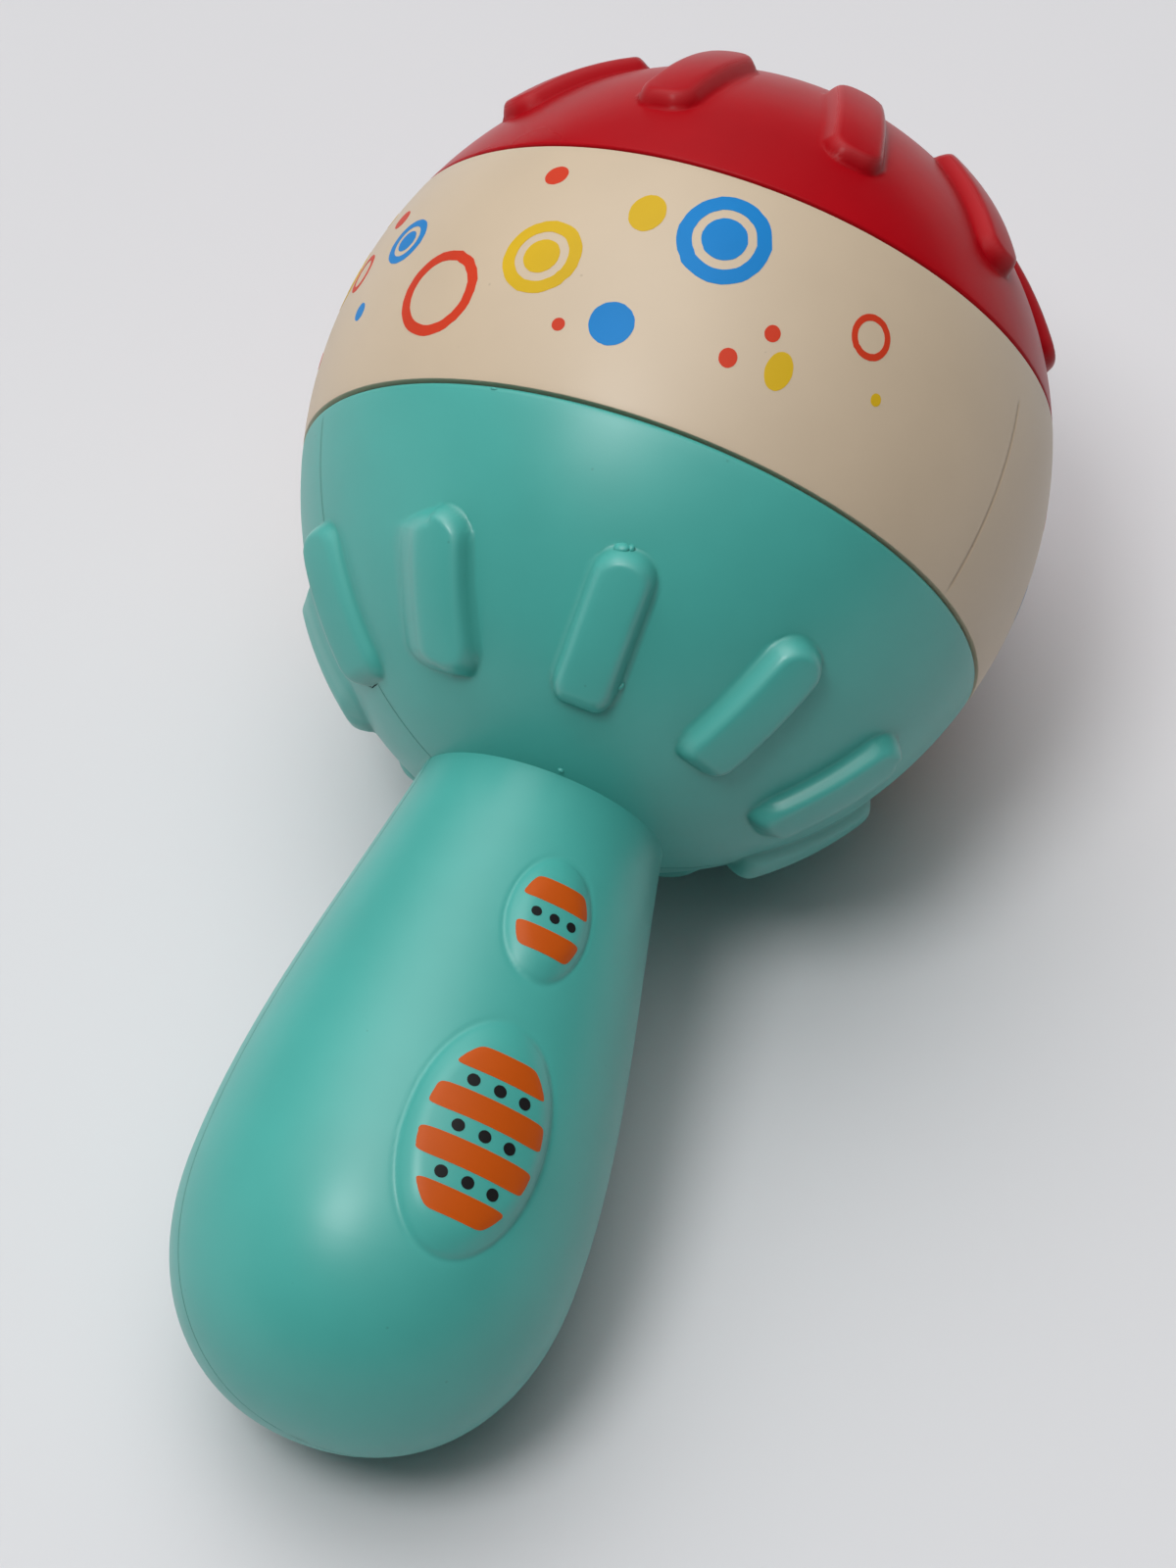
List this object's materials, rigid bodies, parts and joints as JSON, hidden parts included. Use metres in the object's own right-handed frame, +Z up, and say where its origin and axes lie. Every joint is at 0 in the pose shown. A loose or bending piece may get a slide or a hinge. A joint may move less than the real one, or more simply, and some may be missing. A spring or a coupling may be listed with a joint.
{
  "type": "baby maraca",
  "caption": "Baby maraca lying on its side: ball head of ribbed bowl, cream ring and ribbed cap round loose rattle beads, on a plump two-shell handle.",
  "frame": {"origin": "middle of the footprint of the lying maraca, on the floor", "axes": "+X along the maraca's length from the handle to the head, seen from above, +Z up, and the printed bosses of the handle face up and a little towards -Y"},
  "size_m": [0.1318, 0.068, 0.0684],
  "materials": {
    "turquoise_plastic": "satin",
    "cream_plastic": "satin",
    "red_plastic": "satin",
    "bead_plastic": "gloss"
  },
  "bodies": {
    "shell": {"front_shell": "turquoise_plastic", "rear_shell": "turquoise_plastic", "band_ring": "cream_plastic", "top_cap": "red_plastic"},
    "bead_01": {"bead_01": "bead_plastic"},
    "bead_02": {"bead_02": "bead_plastic"},
    "bead_03": {"bead_03": "bead_plastic"},
    "bead_04": {"bead_04": "bead_plastic"},
    "bead_05": {"bead_05": "bead_plastic"},
    "bead_06": {"bead_06": "bead_plastic"},
    "bead_07": {"bead_07": "bead_plastic"},
    "bead_08": {"bead_08": "bead_plastic"},
    "bead_09": {"bead_09": "bead_plastic"},
    "bead_10": {"bead_10": "bead_plastic"},
    "bead_11": {"bead_11": "bead_plastic"},
    "bead_12": {"bead_12": "bead_plastic"},
    "bead_13": {"bead_13": "bead_plastic"},
    "bead_14": {"bead_14": "bead_plastic"},
    "bead_15": {"bead_15": "bead_plastic"},
    "bead_16": {"bead_16": "bead_plastic"},
    "bead_17": {"bead_17": "bead_plastic"},
    "bead_18": {"bead_18": "bead_plastic"},
    "bead_19": {"bead_19": "bead_plastic"}
  },
  "joints": [
    {"name": "bead_01_rattle", "type": "slide", "parent": "shell", "child": "bead_01", "axis": [0, 0, 1], "range_m": [0, 0.0567]},
    {"name": "bead_02_rattle", "type": "slide", "parent": "shell", "child": "bead_02", "axis": [0, 0, 1], "range_m": [0, 0.056]},
    {"name": "bead_03_rattle", "type": "slide", "parent": "shell", "child": "bead_03", "axis": [0, 0, 1], "range_m": [0, 0.0554]},
    {"name": "bead_04_rattle", "type": "slide", "parent": "shell", "child": "bead_04", "axis": [0, 0, 1], "range_m": [0, 0.0546]},
    {"name": "bead_05_rattle", "type": "slide", "parent": "shell", "child": "bead_05", "axis": [0, 0, 1], "range_m": [0, 0.0546]},
    {"name": "bead_06_rattle", "type": "slide", "parent": "shell", "child": "bead_06", "axis": [0, 0, 1], "range_m": [0, 0.0546]},
    {"name": "bead_07_rattle", "type": "slide", "parent": "shell", "child": "bead_07", "axis": [0, 0, 1], "range_m": [0, 0.0554]},
    {"name": "bead_08_rattle", "type": "slide", "parent": "shell", "child": "bead_08", "axis": [0, 0, 1], "range_m": [0, 0.0525]},
    {"name": "bead_09_rattle", "type": "slide", "parent": "shell", "child": "bead_09", "axis": [0, 0, 1], "range_m": [0, 0.0533]},
    {"name": "bead_10_rattle", "type": "slide", "parent": "shell", "child": "bead_10", "axis": [0, 0, 1], "range_m": [0, 0.0505]},
    {"name": "bead_11_rattle", "type": "slide", "parent": "shell", "child": "bead_11", "axis": [0, 0, 1], "range_m": [0, 0.0512]},
    {"name": "bead_12_rattle", "type": "slide", "parent": "shell", "child": "bead_12", "axis": [0, 0, 1], "range_m": [0, 0.0489]},
    {"name": "bead_13_rattle", "type": "slide", "parent": "shell", "child": "bead_13", "axis": [0, 0, 1], "range_m": [0, 0.0511]},
    {"name": "bead_14_rattle", "type": "slide", "parent": "shell", "child": "bead_14", "axis": [0, 0, 1], "range_m": [0, 0.0495]},
    {"name": "bead_15_rattle", "type": "slide", "parent": "shell", "child": "bead_15", "axis": [0, 0, 1], "range_m": [0, 0.0511]},
    {"name": "bead_16_rattle", "type": "slide", "parent": "shell", "child": "bead_16", "axis": [0, 0, 1], "range_m": [0, 0.0489]},
    {"name": "bead_17_rattle", "type": "slide", "parent": "shell", "child": "bead_17", "axis": [0, 0, 1], "range_m": [0, 0.0512]},
    {"name": "bead_18_rattle", "type": "slide", "parent": "shell", "child": "bead_18", "axis": [0, 0, 1], "range_m": [0, 0.0505]},
    {"name": "bead_19_rattle", "type": "slide", "parent": "shell", "child": "bead_19", "axis": [0, 0, 1], "range_m": [0, 0.0533]}
  ]
}
